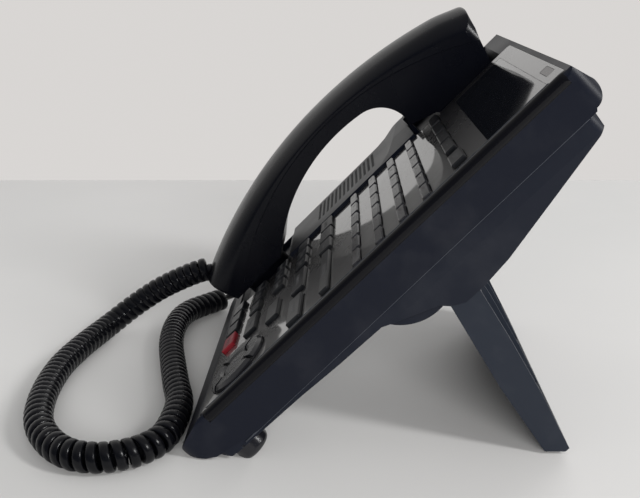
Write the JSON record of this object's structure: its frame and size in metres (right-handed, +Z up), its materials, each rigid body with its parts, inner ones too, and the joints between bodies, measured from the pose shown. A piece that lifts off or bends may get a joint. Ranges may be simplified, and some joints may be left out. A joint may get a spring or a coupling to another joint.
{
  "type": "corded desk telephone",
  "caption": "Desk telephone with a sloping key deck on a fold-out stand, a glossy face with display and keys, and a lift-off handset on a curly cord.",
  "frame": {"origin": "centre of the telephone's footprint, without its free cord, on the surface that it stands on", "axes": "+X to the user's right across the housing, +Y away from the user, +Z up; the handset lies on the -X side"},
  "size_m": [0.2211, 0.2722, 0.1979],
  "materials": {
    "housing_front": "fine satin, bluish black",
    "housing_rear": "fine satin, bluish black",
    "glossy_face": "piano black, polished",
    "display_lens": "smoked clear window",
    "display_panel": "grey-green liquid crystal panel, unlit",
    "lamp_lens": "dark smoked lens, unlit",
    "speaker_cone": "dark paper cone",
    "hook_plastic": "satin black",
    "key_mat": "translucent grey silicone",
    "board": "green laminate",
    "jack_plastic": "satin black",
    "foot_rubber": "matte black rubber",
    "screw_steel": "zinc-plated",
    "stand_plastic": "fine satin, bluish grey",
    "handset_gloss": "polished black",
    "handset_matte": "satin black",
    "capsule_metal": "pressed can",
    "weight_iron": "plain bar",
    "plug_plastic": "black",
    "cord_jacket": "semi-gloss black jacket",
    "nav_metallic": "dark grey satin",
    "key_plastic": "satin black with light printed legends",
    "line_key": "satin dark grey with a pale label strip",
    "red_key": "dark red"
  },
  "bodies": {
    "base": {"front_shell": "housing_front", "face_plate": "glossy_face", "rear_shell": "housing_rear", "display_window": "display_lens", "display_module": "display_panel", "message_lamp": "lamp_lens", "loudspeaker": "speaker_cone", "handset_tab": "housing_front", "key_membrane": "key_mat", "circuit_board": "board", "line_jack": "jack_plastic", "handset_jack": "jack_plastic", "front_feet": "foot_rubber", "case_screws": "screw_steel", "base_plug": "plug_plastic", "cord_coil": "cord_jacket", "cord_lead": "cord_jacket"},
    "handset": {"handset_back_shell": "handset_gloss", "handset_front_shell": "handset_matte", "handset_receiver": "capsule_metal", "handset_microphone": "capsule_metal", "handset_weight": "weight_iron", "handset_socket": "jack_plastic", "handset_plug": "plug_plastic"},
    "stand": {"stand": "stand_plastic", "stand_feet": "foot_rubber"},
    "hook": {"hook_switch": "hook_plastic"},
    "dial_key_1_body": {"dial_key_1": "key_plastic"},
    "dial_key_2_body": {"dial_key_2": "key_plastic"},
    "dial_key_3_body": {"dial_key_3": "key_plastic"},
    "dial_key_4_body": {"dial_key_4": "key_plastic"},
    "dial_key_5_body": {"dial_key_5": "key_plastic"},
    "dial_key_6_body": {"dial_key_6": "key_plastic"},
    "dial_key_7_body": {"dial_key_7": "key_plastic"},
    "dial_key_8_body": {"dial_key_8": "key_plastic"},
    "dial_key_9_body": {"dial_key_9": "key_plastic"},
    "dial_key_star_body": {"dial_key_star": "key_plastic"},
    "dial_key_0_body": {"dial_key_0": "key_plastic"},
    "dial_key_hash_body": {"dial_key_hash": "key_plastic"},
    "soft_key_1_body": {"soft_key_1": "key_plastic"},
    "soft_key_2_body": {"soft_key_2": "key_plastic"},
    "soft_key_3_body": {"soft_key_3": "key_plastic"},
    "soft_key_4_body": {"soft_key_4": "key_plastic"},
    "exit_key_body": {"exit_key": "key_plastic"},
    "feature_key_1_body": {"feature_key_1": "key_plastic"},
    "feature_key_2_body": {"feature_key_2": "key_plastic"},
    "feature_key_3_body": {"feature_key_3": "key_plastic"},
    "directory_key_body": {"directory_key": "key_plastic"},
    "transfer_key_body": {"transfer_key": "key_plastic"},
    "speaker_key_body": {"speaker_key": "key_plastic"},
    "microphone_key_body": {"microphone_key": "key_plastic"},
    "menu_key_body": {"menu_key": "key_plastic"},
    "hold_key_body": {"hold_key": "red_key"},
    "line_keys_row_1_body": {"line_keys_row_1": "line_key"},
    "line_keys_row_2_body": {"line_keys_row_2": "line_key"},
    "line_keys_row_3_body": {"line_keys_row_3": "line_key"},
    "line_keys_row_4_body": {"line_keys_row_4": "line_key"},
    "nav_ring_body": {"nav_ring": "nav_metallic"},
    "nav_centre_key_body": {"nav_centre_key": "nav_metallic"}
  },
  "joints": [
    {"name": "handset_lift", "type": "slide", "parent": "base", "child": "handset", "axis": [0, 0, 1], "range_m": [0, 0.06]},
    {"name": "stand_fold", "type": "hinge", "parent": "base", "child": "stand", "pos_m": [0, 0.03287, 0.08206], "axis": [1, 0, 0], "range_deg": [-75, 0]},
    {"name": "hook_rise", "type": "slide", "parent": "base", "child": "hook", "axis": [0, -0.7169, 0.6972], "range_m": [0, 0.0025]},
    {"name": "dial_key_1_press", "type": "slide", "parent": "base", "child": "dial_key_1_body", "axis": [0, 0.7169, -0.6972], "range_m": [0, 0.0012], "stiffness_N_per_m": 200, "springref_m": -0.0005},
    {"name": "dial_key_2_press", "type": "slide", "parent": "base", "child": "dial_key_2_body", "axis": [0, 0.7169, -0.6972], "range_m": [0, 0.0012], "stiffness_N_per_m": 200, "springref_m": -0.0005},
    {"name": "dial_key_3_press", "type": "slide", "parent": "base", "child": "dial_key_3_body", "axis": [0, 0.7169, -0.6972], "range_m": [0, 0.0012], "stiffness_N_per_m": 200, "springref_m": -0.0005},
    {"name": "dial_key_4_press", "type": "slide", "parent": "base", "child": "dial_key_4_body", "axis": [0, 0.7169, -0.6972], "range_m": [0, 0.0012], "stiffness_N_per_m": 200, "springref_m": -0.0005},
    {"name": "dial_key_5_press", "type": "slide", "parent": "base", "child": "dial_key_5_body", "axis": [0, 0.7169, -0.6972], "range_m": [0, 0.0012], "stiffness_N_per_m": 200, "springref_m": -0.0005},
    {"name": "dial_key_6_press", "type": "slide", "parent": "base", "child": "dial_key_6_body", "axis": [0, 0.7169, -0.6972], "range_m": [0, 0.0012], "stiffness_N_per_m": 200, "springref_m": -0.0005},
    {"name": "dial_key_7_press", "type": "slide", "parent": "base", "child": "dial_key_7_body", "axis": [0, 0.7169, -0.6972], "range_m": [0, 0.0012], "stiffness_N_per_m": 200, "springref_m": -0.0005},
    {"name": "dial_key_8_press", "type": "slide", "parent": "base", "child": "dial_key_8_body", "axis": [0, 0.7169, -0.6972], "range_m": [0, 0.0012], "stiffness_N_per_m": 200, "springref_m": -0.0005},
    {"name": "dial_key_9_press", "type": "slide", "parent": "base", "child": "dial_key_9_body", "axis": [0, 0.7169, -0.6972], "range_m": [0, 0.0012], "stiffness_N_per_m": 200, "springref_m": -0.0005},
    {"name": "dial_key_star_press", "type": "slide", "parent": "base", "child": "dial_key_star_body", "axis": [0, 0.7169, -0.6972], "range_m": [0, 0.0012], "stiffness_N_per_m": 200, "springref_m": -0.0005},
    {"name": "dial_key_0_press", "type": "slide", "parent": "base", "child": "dial_key_0_body", "axis": [0, 0.7169, -0.6972], "range_m": [0, 0.0012], "stiffness_N_per_m": 200, "springref_m": -0.0005},
    {"name": "dial_key_hash_press", "type": "slide", "parent": "base", "child": "dial_key_hash_body", "axis": [0, 0.7169, -0.6972], "range_m": [0, 0.0012], "stiffness_N_per_m": 200, "springref_m": -0.0005},
    {"name": "soft_key_1_press", "type": "slide", "parent": "base", "child": "soft_key_1_body", "axis": [0, 0.7169, -0.6972], "range_m": [0, 0.0012], "stiffness_N_per_m": 200, "springref_m": -0.0005},
    {"name": "soft_key_2_press", "type": "slide", "parent": "base", "child": "soft_key_2_body", "axis": [0, 0.7169, -0.6972], "range_m": [0, 0.0012], "stiffness_N_per_m": 200, "springref_m": -0.0005},
    {"name": "soft_key_3_press", "type": "slide", "parent": "base", "child": "soft_key_3_body", "axis": [0, 0.7169, -0.6972], "range_m": [0, 0.0012], "stiffness_N_per_m": 200, "springref_m": -0.0005},
    {"name": "soft_key_4_press", "type": "slide", "parent": "base", "child": "soft_key_4_body", "axis": [0, 0.7169, -0.6972], "range_m": [0, 0.0012], "stiffness_N_per_m": 200, "springref_m": -0.0005},
    {"name": "exit_key_press", "type": "slide", "parent": "base", "child": "exit_key_body", "axis": [0, 0.7169, -0.6972], "range_m": [0, 0.0012], "stiffness_N_per_m": 200, "springref_m": -0.0005},
    {"name": "feature_key_1_press", "type": "slide", "parent": "base", "child": "feature_key_1_body", "axis": [0, 0.7169, -0.6972], "range_m": [0, 0.0012], "stiffness_N_per_m": 200, "springref_m": -0.0005},
    {"name": "feature_key_2_press", "type": "slide", "parent": "base", "child": "feature_key_2_body", "axis": [0, 0.7169, -0.6972], "range_m": [0, 0.0012], "stiffness_N_per_m": 200, "springref_m": -0.0005},
    {"name": "feature_key_3_press", "type": "slide", "parent": "base", "child": "feature_key_3_body", "axis": [0, 0.7169, -0.6972], "range_m": [0, 0.0012], "stiffness_N_per_m": 200, "springref_m": -0.0005},
    {"name": "directory_key_press", "type": "slide", "parent": "base", "child": "directory_key_body", "axis": [0, 0.7169, -0.6972], "range_m": [0, 0.0012], "stiffness_N_per_m": 200, "springref_m": -0.0005},
    {"name": "transfer_key_press", "type": "slide", "parent": "base", "child": "transfer_key_body", "axis": [0, 0.7169, -0.6972], "range_m": [0, 0.0012], "stiffness_N_per_m": 200, "springref_m": -0.0005},
    {"name": "speaker_key_press", "type": "slide", "parent": "base", "child": "speaker_key_body", "axis": [0, 0.7169, -0.6972], "range_m": [0, 0.0012], "stiffness_N_per_m": 200, "springref_m": -0.0005},
    {"name": "microphone_key_press", "type": "slide", "parent": "base", "child": "microphone_key_body", "axis": [0, 0.7169, -0.6972], "range_m": [0, 0.0012], "stiffness_N_per_m": 200, "springref_m": -0.0005},
    {"name": "menu_key_press", "type": "slide", "parent": "base", "child": "menu_key_body", "axis": [0, 0.7169, -0.6972], "range_m": [0, 0.0012], "stiffness_N_per_m": 200, "springref_m": -0.0005},
    {"name": "hold_key_press", "type": "slide", "parent": "base", "child": "hold_key_body", "axis": [0, 0.7169, -0.6972], "range_m": [0, 0.0012], "stiffness_N_per_m": 200, "springref_m": -0.0005},
    {"name": "line_keys_row_1_press", "type": "slide", "parent": "base", "child": "line_keys_row_1_body", "axis": [0, 0.7169, -0.6972], "range_m": [0, 0.0012], "stiffness_N_per_m": 400, "springref_m": -0.0005},
    {"name": "line_keys_row_2_press", "type": "slide", "parent": "base", "child": "line_keys_row_2_body", "axis": [0, 0.7169, -0.6972], "range_m": [0, 0.0012], "stiffness_N_per_m": 400, "springref_m": -0.0005},
    {"name": "line_keys_row_3_press", "type": "slide", "parent": "base", "child": "line_keys_row_3_body", "axis": [0, 0.7169, -0.6972], "range_m": [0, 0.0012], "stiffness_N_per_m": 400, "springref_m": -0.0005},
    {"name": "line_keys_row_4_press", "type": "slide", "parent": "base", "child": "line_keys_row_4_body", "axis": [0, 0.7169, -0.6972], "range_m": [0, 0.0012], "stiffness_N_per_m": 400, "springref_m": -0.0005},
    {"name": "nav_ring_press", "type": "slide", "parent": "base", "child": "nav_ring_body", "axis": [0, 0.7169, -0.6972], "range_m": [0, 0.0012], "stiffness_N_per_m": 200, "springref_m": -0.0005},
    {"name": "nav_centre_key_press", "type": "slide", "parent": "base", "child": "nav_centre_key_body", "axis": [0, 0.7169, -0.6972], "range_m": [0, 0.0012], "stiffness_N_per_m": 200, "springref_m": -0.0005}
  ],
  "couplings": [
    {"joint": "hook_rise", "follows": "handset_lift", "ratio": 0.04}
  ]
}
